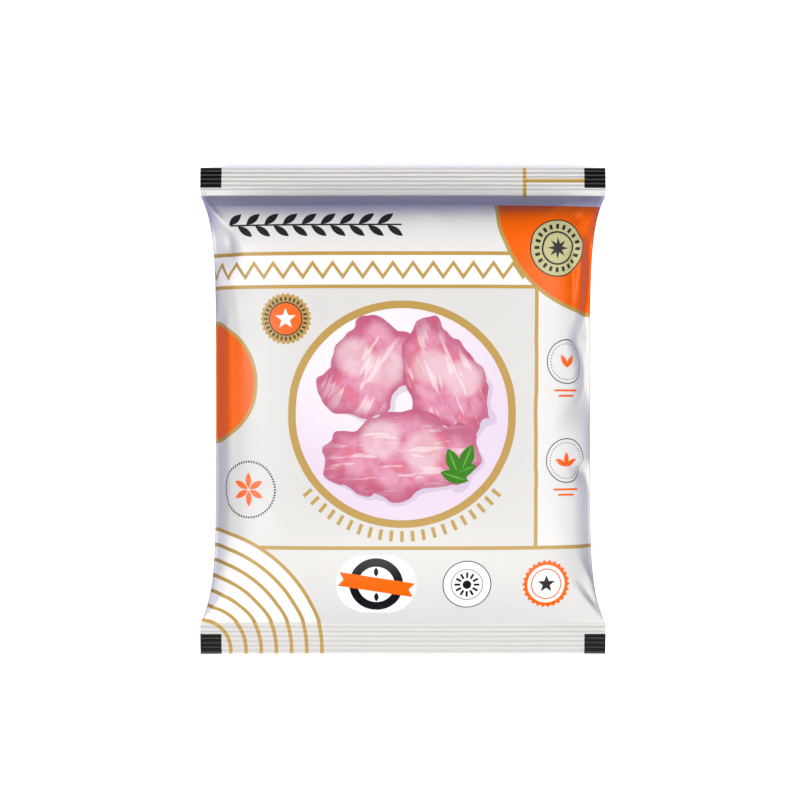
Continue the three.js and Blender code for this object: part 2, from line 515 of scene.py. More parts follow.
# ---------------------------------------------------------------------------------------------
# Pieces of film
# ---------------------------------------------------------------------------------------------


def only(piece: bpy.types.Object) -> None:
    """Makes a piece the only one that the next operators act on."""
    bpy.ops.object.select_all(action="DESELECT")
    piece.select_set(True)
    bpy.context.view_layer.objects.active = piece


def add_web(name: str, across: int, along: int) -> bpy.types.Object:
    """Adds a flat web of film, as a unit square.

    Args:
        name: The piece's name.
        across: The number of faces across it.
        along: The number of faces along it.

    Returns:
        The web.
    """
    bpy.ops.object.select_all(action="DESELECT")
    bpy.ops.mesh.primitive_grid_add(
        x_subdivisions=across, y_subdivisions=along, size=1.0, calc_uvs=False
    )
    web = bpy.context.active_object
    web.name = web.data.name = name
    return web


def web_places(web: bpy.types.Object, across: int, along: int) -> tuple[Numbers, Numbers]:
    """The column and the row of each vertex of a flat web."""
    spots = np.empty(len(web.data.vertices) * 3)
    web.data.vertices.foreach_get("co", spots)
    shares = spots.reshape(-1, 3) + 0.5
    return np.rint(shares[:, 0] * across).astype(int), np.rint(shares[:, 1] * along).astype(int)


def hang(web: bpy.types.Object, places: Numbers, on_film: Numbers) -> None:
    """Moves the vertices of a web to where the filled pack holds them, and maps its print.

    Args:
        web: The web.
        places: The place of each vertex, in millimetres.
        on_film: The place of each vertex on the flat film.
    """
    web.data.vertices.foreach_set("co", (places * MM).ravel())
    loops = np.empty(len(web.data.loops), dtype=int)
    web.data.loops.foreach_get("vertex_index", loops)
    web_map = web.data.uv_layers.new(name=WEB_MAP)
    web_map.data.foreach_set("uv", on_film[loops].ravel())
    web.data.update()


def turn_over(web: bpy.types.Object) -> None:
    """Turns the faces of a web to look down."""
    only(web)
    bpy.ops.object.mode_set(mode="EDIT")
    bpy.ops.mesh.select_all(action="SELECT")
    bpy.ops.mesh.flip_normals()
    bpy.ops.object.mode_set(mode="OBJECT")


def thicken(web: bpy.types.Object, thickness: float, offset: float) -> None:
    """Gives a web its thickness and smooths its shading.

    Args:
        web: The web.
        thickness: Its thickness, in millimetres.
        offset: -1 to thicken it inwards and 1 to thicken it outwards.
    """
    only(web)
    wall = web.modifiers.new("film", "SOLIDIFY")
    wall.thickness = thickness * MM
    wall.offset = offset
    bpy.ops.object.modifier_apply(modifier=wall.name)
    bpy.ops.object.shade_smooth_by_angle(angle=math.radians(50))


def hand_over(piece: bpy.types.Object, role: str) -> None:
    """Places a finished piece in the frame and reports it.

    Args:
        piece: The finished piece.
        role: What the piece is, for the log.
    """
    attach(piece, "root")
    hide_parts(NODE)
    LOG.info("%s: %s, %d faces", piece.name, role, len(piece.data.polygons))


class Side(Enum):
    """The side of the pack that a film shows on."""

    FRONT = 1
    BACK = -1


@dataclass
class FilmPanel:
    """One side of the wrapped film, with its half of both end seals.

    Attributes:
        form: The shape of the pack.
        side: The side that it covers.
        name: The piece's name.
        inside_strip: Width of the strip of its unit square that its hidden inside takes up.
    """

    form: PackForm
    side: Side
    name: str
    inside_strip: float = 0.03

    def build(self) -> bpy.types.Object:
        """Models the panel from a flat web.

        Returns:
            The finished piece, without its material.
        """
        across, along = len(self.form.columns()) - 1, len(self.form.rows()) - 1
        piece = add_web(self.name, across, along)
        self.bulge(piece, *web_places(piece, across, along))
        if self.side is Side.BACK:
            turn_over(piece)
        outside = len(piece.data.polygons)
        thicken(piece, self.form.film, -1.0)
        self.lay_out(piece, outside)
        return piece

    def surface(self) -> tuple[Numbers, Numbers, Numbers]:
        """The outside of the film as grids of x, y and z, one row of the film in each row."""
        share, y = np.meshgrid(self.form.columns(), self.form.rows())
        x = share * self.form.half_width(y)
        heights = self.form.front if self.side is Side.FRONT else self.form.back
        return x, y, heights(share, x, y) + self.form.crimp(y)

    def bulge(self, web: bpy.types.Object, columns: Numbers, rows: Numbers) -> None:
        """Hangs the web as the filled pack holds it.

        The film doesn't stretch, so its print is measured along it, from the panel's middle.

        Args:
            web: The flat web.
            columns: The column of each of its vertices.
            rows: The row of each.
        """
        x, y, z = self.surface()
        steps = np.hypot(np.diff(x, axis=1), np.diff(z, axis=1))
        run = np.concatenate([np.zeros((len(x), 1)), np.cumsum(steps, axis=1)], axis=1)
        middle = run[:, [run.shape[1] // 2]]
        on_film = (run - middle) / (run[:, [-1]] - run[:, [0]]) * self.form.width
        places = np.stack([x, y, z], axis=2)[rows, columns]
        hang(web, places, np.stack([on_film, y], axis=2)[rows, columns])

    def lay_out(self, piece: bpy.types.Object, outside: int) -> None:
        """Spreads the outside over a unit square, and its hidden inside over a narrow strip of it.

        Args:
            piece: The thickened panel.
            outside: The number of faces on its outside, which come first.
        """
        mesh = piece.data
        flat = np.empty(len(mesh.loops) * 2)
        mesh.uv_layers[WEB_MAP].data.foreach_get("uv", flat)
        spread = flat.reshape(-1, 2) / (self.form.width, self.form.length) + 0.5
        starts = np.empty(len(mesh.polygons), dtype=int)
        mesh.polygons.foreach_get("loop_start", starts)
        shown = np.arange(len(mesh.loops)) < starts[outside]
        room = 1.0 - self.inside_strip
        spread[shown, 0] *= room
        spread[~shown, 0] = room + spread[~shown, 0] * self.inside_strip
        sheet = mesh.uv_layers.new(name=SHEET_MAP)
        sheet.data.foreach_set("uv", spread.ravel())


@dataclass
class FinSeal:
    """The web's two edges, sealed together and folded flat against the back.

    Attributes:
        form: The shape of the pack.
        name: The piece's name.
        edges: Its two edges, across the pack, in millimetres.
        thickness: Its thickness, folded.
        columns: Faces across it.
        gap: How far it is clear of the back.
    """

    form: PackForm
    name: str = "fin_seal"
    edges: tuple[float, float] = (-2.2, 8.6)
    thickness: float = 0.24
    columns: int = 10
    gap: float = 0.02

    def build(self) -> bpy.types.Object:
        """Models the fin from a flat strip.

        Returns:
            The finished piece, without its material.
        """
        rows = self.form.rows()
        fin = add_web(self.name, self.columns, len(rows) - 1)
        column, row = web_places(fin, self.columns, len(rows) - 1)
        x = self.edges[0] + (self.edges[1] - self.edges[0]) * column / self.columns
        y = rows[row]
        z = self.form.back(x / self.form.half_width(y), x, y) + self.form.crimp(y) - self.gap
        hang(fin, np.stack([x, y, z], axis=1), np.stack([x, y], axis=1))
        turn_over(fin)
        thicken(fin, self.thickness, 1.0)
        return fin


# ---------------------------------------------------------------------------------------------
# Finish: the printed film
# ---------------------------------------------------------------------------------------------

Socket = bpy.types.NodeSocket
Feed = Socket | float | tuple[float, ...]
Place = tuple[float, float]
SOFT_EDGE = 0.14  # millimetres over which an ink's edge fades
ORIGIN = (0.0, 0.0, 0.0)
STAR_NOTCH = 0.42  # radius of a star's notches as a share of its points'


class Ink(Enum):
    """The inks of the print, some of them also laid as painted shade, as linear colours."""

    PALE_GREY = (0.61, 0.61, 0.61)
    SEAL_GREY = (0.54, 0.54, 0.54)
    SILVER = (0.69, 0.69, 0.69)
    # Grey-violet: print in the strip under the top seal, and painted shade under that seal and in
    # the top left corner
    DUSK = (0.40, 0.405, 0.54)
    # Painted shade: dark orange laid over the orange field where it runs up to the top seal
    BURNT_ORANGE = (0.22, 0.055, 0.022)
    WHITE = (0.80, 0.80, 0.80)
    ORANGE = (0.80, 0.115, 0.0015)
    GOLD = (0.43, 0.275, 0.07)
    PALE_GREEN = (0.48, 0.46, 0.235)
    LILAC = (0.68, 0.59, 0.72)
    LILAC_SHADE = (0.46, 0.38, 0.55)
    PINK = (0.57, 0.165, 0.30)
    DEEP_PINK = (0.40, 0.065, 0.15)
    LIGHT_PINK = (0.68, 0.37, 0.49)
    CORAL = (0.60, 0.15, 0.15)
    GREEN = (0.028, 0.18, 0.006)
    LEAF_LIGHT = (0.10, 0.34, 0.03)
    BLACK = (0.004, 0.004, 0.005)
    SOFT_BLACK = (0.018, 0.017, 0.02)
    LINE_GREY = (0.24, 0.24, 0.26)

    @property
    def colour(self) -> tuple[float, float, float, float]:
        """The ink's colour as a socket takes it."""
        return (*self.value, 1.0)


class Wires:
    """Adds nodes to one tree and joins them up."""

    def __init__(self, tree: bpy.types.NodeTree) -> None:
        """Starts on a tree.

        Args:
            tree: The material's tree or a group's.
        """
        self.tree = tree

    def put(self, kind: str, **settings: object) -> bpy.types.Node:
        """Adds a node and sets its options."""
        node = self.tree.nodes.new(kind)
        for name, value in settings.items():
            setattr(node, name, value)
        return node

    def feed(self, socket: Socket, value: Feed) -> None:
        """Links an input to an output, or sets its value."""
        if isinstance(value, bpy.types.NodeSocket):
            self.tree.links.new(value, socket)
        else:
            socket.default_value = value

    def math(self, operation: str, *values: Feed) -> Socket:
        """Works out one number.

        Args:
            operation: The Math node's operation.
            values: Its inputs in order.

        Returns:
            The result.
        """
        node = self.put("ShaderNodeMath", operation=operation)
        for socket, value in zip(node.inputs, values):
            self.feed(socket, value)
        return node.outputs["Value"]

    def less(self, first: Feed, second: Feed) -> Socket:
        """One number less another."""
        return self.math("SUBTRACT", first, second)

    def times(self, first: Feed, second: Feed) -> Socket:
        """The product of two numbers."""
        return self.math("MULTIPLY", first, second)

    def over(self, first: Feed, second: Feed) -> Socket:
        """One number over another."""
        return self.math("DIVIDE", first, second)

    def size(self, value: Feed) -> Socket:
        """A number without its sign."""
        return self.math("ABSOLUTE", value)

    def vector(self, operation: str, *values: Feed) -> Socket:
        """Works out one vector, or one number for a length or a dot product."""
        node = self.put("ShaderNodeVectorMath", operation=operation)
        for socket, value in zip(node.inputs, values):
            self.feed(socket, value)
        return node.outputs["Value" if operation in ("LENGTH", "DOT_PRODUCT") else "Vector"]

    def split(self, vector: Socket) -> tuple[Socket, Socket]:
        """The first two parts of a vector."""
        node = self.put("ShaderNodeSeparateXYZ")
        self.feed(node.inputs["Vector"], vector)
        return node.outputs["X"], node.outputs["Y"]

    def join(self, x: Feed, y: Feed) -> Socket:
        """A vector from its first two parts."""
        node = self.put("ShaderNodeCombineXYZ")
        self.feed(node.inputs["X"], x)
        self.feed(node.inputs["Y"], y)
        return node.outputs["Vector"]

    def turned(self, place: Socket, centre: Feed, turn: Feed) -> tuple[Socket, Socket]:
        """A place as seen from a centre by a mark that is turned by an angle.

        Args:
            place: The place.
            centre: The mark's centre.
            turn: The mark's angle.

        Returns:
            How far the place is along the mark and how far across it.
        """
        away = self.vector("SUBTRACT", place, centre)
        cosine, sine = self.math("COSINE", turn), self.math("SINE", turn)
        along = self.vector("DOT_PRODUCT", away, self.join(cosine, sine))
        back = self.math("MULTIPLY", sine, -1.0)
        return along, self.vector("DOT_PRODUCT", away, self.join(back, cosine))

    def cover(self, distance: Socket) -> Socket:
        """How far an ink covers the film, from the distance outside the ink's edge.

        A mask runs on past 0 and 1, and the node that mixes the ink in clamps it.
        """
        return self.math("MULTIPLY_ADD", distance, -1.0 / SOFT_EDGE, 0.5)

    def both(self, first: Feed, second: Feed) -> Socket:
        """Where two masks overlap, or a mask that is no stronger than a number."""
        return self.math("MINIMUM", first, second)

    def either(self, first: Socket, second: Socket) -> Socket:
        """Where at least one of two masks is."""
        return self.math("MAXIMUM", first, second)

    def noise(
        self, place: Socket, size: tuple[float, float], detail: float, turn: Feed = ORIGIN
    ) -> Socket:
        """Smooth noise over a place.

        Args:
            place: Where.
            size: How large its patches are along X and along Y, in millimetres.
            detail: How many finer layers it has.
            turn: How far it is turned, as an angle round each axis.

        Returns:
            The noise, around a half.
        """
        spread = self.put("ShaderNodeMapping", vector_type="TEXTURE")
        self.feed(spread.inputs["Vector"], place)
        self.feed(spread.inputs["Rotation"], turn)
        self.feed(spread.inputs["Scale"], (*size, 1.0))
        node = self.put("ShaderNodeTexNoise", noise_dimensions="2D")
        self.feed(node.inputs["Vector"], spread.outputs["Vector"])
        self.feed(node.inputs["Scale"], 1.0)
        self.feed(node.inputs["Detail"], detail)
        return node.outputs["Fac"]


class Stencil:
    """A node group that gives the masks of one kind of mark."""

    def __init__(self, name: str, gives: tuple[str, ...], **takes: Feed) -> None:
        """Makes the group with its sockets, the first of which takes the place on the film.

        Args:
            name: The group's name.
            gives: Its outputs.
            takes: Its other inputs with their usual values.
        """
        self.tree = bpy.data.node_groups.new(name, "ShaderNodeTree")
        for socket, usual in {"Place": ORIGIN, **takes}.items():
            kind = "NodeSocketVector" if isinstance(usual, tuple) else "NodeSocketFloat"
            made = self.tree.interface.new_socket(socket, in_out="INPUT", socket_type=kind)
            made.default_value = usual
        for socket in gives:
            self.tree.interface.new_socket(
                socket, in_out="OUTPUT", socket_type="NodeSocketFloat"
            )
        self.wires = Wires(self.tree)
        self.takes = self.wires.put("NodeGroupInput").outputs
        self.out = self.wires.put("NodeGroupOutput")

    def away(self) -> Socket:
        """The place as seen from the mark's centre."""
        return self.wires.vector("SUBTRACT", self.takes["Place"], self.takes["Centre"])

    def turned(self) -> tuple[Socket, Socket]:
        """How far the place is along a mark that is turned, and how far across it."""
        return self.wires.turned(self.takes["Place"], self.takes["Centre"], self.takes["Turn"])

    def give(self, **results: Socket) -> "Stencil":
        """Joins results to the group's outputs."""
        for name, result in results.items():
            self.wires.feed(self.out.inputs[name], result)
        return self


def disc_stencil() -> Stencil:
    """A disc and its outline."""
    made = Stencil("disc_mark", ("Fill", "Line"), Centre=ORIGIN, Radius=10.0, Width=1.7)
    w, take = made.wires, made.takes
    away = w.vector("LENGTH", made.away())
    distance = w.less(away, take["Radius"])
    half = w.times(take["Width"], 0.5)
    line = w.cover(w.less(w.size(distance), half))
    return made.give(Fill=w.cover(distance), Line=line)


def glow_stencil() -> Stencil:
    """A round patch that fades out from its middle."""
    made = Stencil("glow_mark", ("Fill",), Centre=ORIGIN, Radius=10.0)
    w, take = made.wires, made.takes
    away = w.vector("LENGTH", made.away())
    return made.give(Fill=w.less(1.0, w.over(away, take["Radius"])))


def box_stencil() -> Stencil:
    """An oblong with rounded corners, and its outline."""
    made = Stencil(
        "box_mark", ("Fill", "Line"), Centre=ORIGIN, Half=(10.0, 5.0, 0.0),
        Turn=0.0, Corner=0.0, Width=1.7,
    )
    w, take = made.wires, made.takes
    past = []
    local = made.turned()
    for at, half in zip(local, w.split(take["Half"])):
        inner = w.less(half, take["Corner"])
        past.append(w.less(w.size(at), inner))
    outside = w.vector("LENGTH", w.join(*(w.math("MAXIMUM", side, 0.0) for side in past)))
    inside = w.math("MINIMUM", w.math("MAXIMUM", *past), 0.0)
    distance = w.less(w.math("ADD", outside, inside), take["Corner"])
    half = w.times(take["Width"], 0.5)
    line = w.cover(w.less(w.size(distance), half))
    return made.give(Fill=w.cover(distance), Line=line)


def leaf_stencil() -> Stencil:
    """A leaf with two pointed ends."""
    made = Stencil("leaf_mark", ("Fill",), Centre=ORIGIN, Length=4.0, Breadth=1.5, Turn=0.0)
    w, take = made.wires, made.takes
    along, across = made.turned()
    share = w.over(along, take["Length"])
    room = w.less(1.0, w.times(share, share))
    edge = w.times(room, take["Breadth"])
    return made.give(Fill=w.cover(w.less(w.size(across), edge)))


def sprig_stencil() -> Stencil:
    """A straight twig along X with leaves on both sides by turns."""
    made = Stencil(
        "sprig_mark", ("Fill",), Centre=ORIGIN, Reach=30.0, Pitch=8.0, Leaf=3.6, Lean=0.6
    )
    w, take = made.wires, made.takes
    x, y = w.split(made.away())
    quarter = w.times(take["Pitch"], 0.25)
    half = w.times(take["Pitch"], 0.5)
    shifted = w.math("MULTIPLY_ADD", w.math("SIGN", y), quarter, x)
    start = w.times(half, -1.0)
    cell = w.math("WRAP", shifted, half, start)
    middle = w.size(w.less(shifted, cell))
    whole = w.cover(w.math("ADD", w.less(middle, take["Reach"]), half))
    beside = w.size(y)
    cosine, sine = w.math("COSINE", take["Lean"]), w.math("SINE", take["Lean"])
    root = w.times(take["Leaf"], sine)
    rise = w.less(beside, w.math("ADD", root, 0.3))
    along = w.math("MULTIPLY_ADD", cell, cosine, w.times(rise, sine))
    across = w.less(w.times(rise, cosine), w.times(cell, sine))
    share = w.over(along, take["Leaf"])
    room = w.less(1.0, w.times(share, share))
    breadth = w.times(w.times(take["Leaf"], 0.36), room)
    leaf = w.both(w.cover(w.less(w.size(across), breadth)), whole)
    end = w.cover(w.less(w.size(x), take["Reach"]))
    twig = w.both(w.cover(w.less(beside, 0.4)), end)
    return made.give(Fill=w.either(leaf, twig))


def folded_round(w: Wires, away: Socket, count: Feed) -> tuple[Socket, Socket, Socket]:
    """Folds a place into the half wedge next to the nearest of several even rays.

    Args:
        w: The tree to build in.
        away: The place as seen from the centre.
        count: The number of rays, the first of which runs along Y.

    Returns:
        How far it is along the ray, how far beside it, and how far from the centre.
    """
    x, y = w.split(away)
    radius = w.vector("LENGTH", away)
    half = w.over(math.pi, count)
    angle = w.math("PINGPONG", w.math("ARCTAN2", x, y), half)
    along = w.times(radius, w.math("COSINE", angle))
    beside = w.times(radius, w.math("SINE", angle))
    return along, beside, radius


def star_stencil() -> Stencil:
    """A star."""
    made = Stencil("star_mark", ("Fill",), Centre=ORIGIN, Points=5.0, Outer=5.0, Inner=2.0)
    w, take = made.wires, made.takes
    away = made.away()
    along, beside, _ = folded_round(w, away, take["Points"])
    half = w.over(math.pi, take["Points"])
    notch = w.times(take["Inner"], w.math("COSINE", half))
    edge_x = w.less(notch, take["Outer"])
    edge_y = w.times(take["Inner"], w.math("SINE", half))
    short = w.less(along, take["Outer"])
    over = w.times(beside, edge_x)
    cross = w.less(w.times(short, edge_y), over)
    length = w.vector("LENGTH", w.join(edge_x, edge_y))
    return made.give(Fill=w.cover(w.over(cross, length)))


def rosette_stencil() -> Stencil:
    """A disc with a scalloped edge."""
    made = Stencil("rosette_mark", ("Fill",), Centre=ORIGIN, Radius=12.0, Scallop=0.6, Count=24.0)
    w, take = made.wires, made.takes
    away = made.away()
    x, y = w.split(away)
    turns = w.times(w.math("ARCTAN2", y, x), take["Count"])
    edge = w.math("MULTIPLY_ADD", w.math("COSINE", turns), take["Scallop"], take["Radius"])
    return made.give(Fill=w.cover(w.less(w.vector("LENGTH", away), edge)))


def rays_stencil() -> Stencil:
    """Short even rays round a centre."""
    made = Stencil(
        "rays_mark", ("Fill",), Centre=ORIGIN, Count=60.0, Inner=10.0, Outer=14.0, Width=1.4
    )
    w, take = made.wires, made.takes
    away = made.away()
    _, beside, radius = folded_round(w, away, take["Count"])
    half = w.times(take["Width"], 0.5)
    mask = w.cover(w.less(beside, half))
    mask = w.both(mask, w.cover(w.less(take["Inner"], radius)))
    return made.give(Fill=w.both(mask, w.cover(w.less(radius, take["Outer"]))))


def rings_stencil() -> Stencil:
    """Even rings inside each other."""
    made = Stencil("rings_mark", ("Line",), Centre=ORIGIN, Radius=40.0, Pitch=8.0, Width=1.5)
    w, take = made.wires, made.takes
    radius = w.vector("LENGTH", made.away())
    half_pitch = w.times(take["Pitch"], 0.5)
    half = w.times(take["Width"], 0.5)
    off = w.math("PINGPONG", radius, half_pitch)
    line = w.cover(w.less(off, half))
    reach = w.math("ADD", take["Radius"], half)
    return made.give(Line=w.both(line, w.cover(w.less(radius, reach))))


def zigzag_stencil() -> Stencil:
    """A zigzag line that runs along X."""
    made = Stencil("zigzag_mark", ("Line",), Centre=ORIGIN, Pitch=10.0, Rise=4.0, Width=1.6)
    w, take = made.wires, made.takes
    x, y = w.split(made.away())
    half_pitch = w.times(take["Pitch"], 0.5)
    share = w.over(w.math("PINGPONG", x, half_pitch), half_pitch)
    height = w.times(w.math("MULTIPLY_ADD", share, 2.0, -1.0), take["Rise"])
    steep = w.over(w.times(take["Rise"], 2.0), half_pitch)
    length = w.vector("LENGTH", w.join(steep, 1.0))
    off = w.over(w.size(w.less(y, height)), length)
    half = w.times(take["Width"], 0.5)
    return made.give(Line=w.cover(w.less(off, half)))


def ribbon_stencil() -> Stencil:
    """A straight ribbon with a notch in each end."""
    made = Stencil(
        "ribbon_mark", ("Fill",), Centre=ORIGIN, Long=16.0, Wide=3.0, Turn=0.0, Notch=2.5
    )
    w, take = made.wires, made.takes
    local = made.turned()
    x, y = (w.size(part) for part in local)
    inwards = w.less(1.0, w.over(y, take["Wide"]))
    end = w.less(take["Long"], w.times(take["Notch"], inwards))
    sides = w.cover(w.less(y, take["Wide"]))
    return made.give(Fill=w.both(sides, w.cover(w.less(x, end))))


def fillet_stencil() -> Stencil:
    """An uneven rounded shape, with its darker rim and its pale streaks."""
    made = Stencil(
        "fillet_mark", ("Fill", "Rim", "Shade", "Streak", "Warm"), Centre=ORIGIN,
        Half=(20.0, 12.0, 1.0),
        Turn=0.0, Grain=ORIGIN,
    )
    w, take = made.wires, made.takes
    bend = w.noise(take["Place"], (18.0, 18.0), 1.5)
    half_x, breadth = w.split(take["Half"])
    x, y = made.turned()
    ratio = w.vector("LENGTH", w.join(w.over(x, half_x), w.over(y, breadth)))
    reach = w.math("ADD", ratio, w.math("MULTIPLY_ADD", bend, 0.7, -0.35))
    distance = w.times(w.less(reach, 1.0), breadth)
    rim = w.math("MULTIPLY_ADD", reach, 3.2, -2.2)
    grain = w.noise(take["Place"], (22.0, 3.6), 2.5, take["Grain"])
    streak = w.math("MULTIPLY_ADD", grain, 9.0, -5.2)
    soft = w.noise(take["Place"], (11.0, 11.0), 2.0)
    shade = w.math("MULTIPLY_ADD", soft, 2.8, -1.05)
    warm = w.math("MULTIPLY_ADD", soft, -6.0, 2.6)
    return made.give(Fill=w.cover(distance), Rim=rim, Shade=shade, Streak=streak, Warm=warm)


def crinkle_stencil() -> Stencil:
    """The film's own fine relief: faint gathers by the seals and a slight unevenness all over."""
    made = Stencil("film_crinkle", ("Height", "Smear"))
    w, take = made.wires, made.takes
    _, y = w.split(take["Place"])
    near = w.math("MULTIPLY_ADD", w.size(y), 1.0 / 26.0, -78.0 / 26.0)
    near = w.math("MAXIMUM", near, 0.0)
    gathers = w.times(w.noise(take["Place"], (4.5, 33.0), 2.0), near)
    uneven = w.noise(take["Place"], (14.0, 14.0), 3.0)
    height = w.math("MULTIPLY_ADD", gathers, 0.5, w.times(uneven, 0.7))
    return made.give(Height=height, Smear=w.noise(take["Place"], (28.0, 28.0), 4.0))


@dataclass(frozen=True)
class Stencils:
    """The stencils of the print, each made once and used in every material."""

    disc: Stencil = field(default_factory=disc_stencil)
    glow: Stencil = field(default_factory=glow_stencil)
    box: Stencil = field(default_factory=box_stencil)
    leaf: Stencil = field(default_factory=leaf_stencil)
    sprig: Stencil = field(default_factory=sprig_stencil)
    star: Stencil = field(default_factory=star_stencil)
    rosette: Stencil = field(default_factory=rosette_stencil)
    rays: Stencil = field(default_factory=rays_stencil)
    rings: Stencil = field(default_factory=rings_stencil)
    zigzag: Stencil = field(default_factory=zigzag_stencil)
    ribbon: Stencil = field(default_factory=ribbon_stencil)
    fillet: Stencil = field(default_factory=fillet_stencil)
    crinkle: Stencil = field(default_factory=crinkle_stencil)


@dataclass
class PrintSheet:
    """A print that is laid down ink by ink on the film.

    Attributes:
        wires: The material's tree.
        stencils: The stencils to print with.
        place: The place on the film, in millimetres from its panel's middle.
        colour: The colour so far.
    """

    wires: Wires
    stencils: Stencils
    place: Socket
    colour: Feed = Ink.PALE_GREY.colour

    def ink(self, mask: Socket, ink: Ink) -> None:
        """Prints an ink where a mask is."""
        mix = self.wires.put("ShaderNodeMix", data_type="RGBA")
        self.wires.feed(mix.inputs["Factor"], mask)
        self.wires.feed(mix.inputs["A"], self.colour)
        self.wires.feed(mix.inputs["B"], ink.colour)
        self.colour = mix.outputs["Result"]

    def mark(self, stencil: Stencil, centre: Place, **sizes: Feed) -> dict[str, Socket]:
        """Places a stencil.

        Args:
            stencil: The stencil.
            centre: Its middle.
            sizes: Its other inputs.

        Returns:
            Its masks by name.
        """
        node = self.wires.put("ShaderNodeGroup", node_tree=stencil.tree)
        given = {"Place": self.place, "Centre": (*centre, 0.0), **sizes}
        for name, value in given.items():
            self.wires.feed(node.inputs[name], value)
        return dict(node.outputs.items())

    def stamp(
        self, stencil: Stencil, centre: Place, ink: Ink, part: str = "Fill", **sizes: Feed
    ) -> None:
        """Places a stencil and prints one of its masks.

        Args:
            stencil: The stencil.
            centre: Its middle.
            ink: The ink.
            part: The mask.
            sizes: Its other inputs.
        """
        self.ink(self.mark(stencil, centre, **sizes)[part], ink)

    def disc(self, centre: Place, radius: float, ink: Ink) -> None:
        """Prints a disc."""
        self.stamp(self.stencils.disc, centre, ink, Radius=radius)

    def ring(self, centre: Place, radius: float, width: float, ink: Ink) -> None:
        """Prints a ring by the radius of its middle line."""
        self.stamp(self.stencils.disc, centre, ink, "Line", Radius=radius, Width=width)

    def box(self, low: Place, high: Place, ink: Ink, corner: float = 0.0) -> None:
        """Prints an oblong between two corners."""
        centre = ((low[0] + high[0]) / 2.0, (low[1] + high[1]) / 2.0)
        half = ((high[0] - low[0]) / 2.0, (high[1] - low[1]) / 2.0, 0.0)
        self.stamp(self.stencils.box, centre, ink, Half=half, Corner=corner)

    def star(self, centre: Place, outer: float, ink: Ink, points: float = 5.0) -> None:
        """Prints a star."""
        inner = outer * STAR_NOTCH
        self.stamp(self.stencils.star, centre, ink, Points=points, Outer=outer, Inner=inner)

    def leaf(self, centre: Place, length: float, breadth: float, turn: float, ink: Ink) -> None:
        """Prints a leaf."""
        angle = math.radians(turn)
        self.stamp(
            self.stencils.leaf, centre, ink, Length=length, Breadth=breadth, Turn=angle
        )

    def rays(
        self, centre: Place, count: float, reach: tuple[float, float], width: float, ink: Ink
    ) -> None:
        """Prints even rays between two radii."""
        inner, outer = reach
        self.stamp(
            self.stencils.rays, centre, ink, Count=count, Inner=inner, Outer=outer, Width=width
        )


def beside(centre: Place, distance: float, turn: float) -> Place:
    """The place at a distance from a centre, in the direction of an angle in degrees."""
    angle = math.radians(turn)
    return centre[0] + distance * math.cos(angle), centre[1] + distance * math.sin(angle)


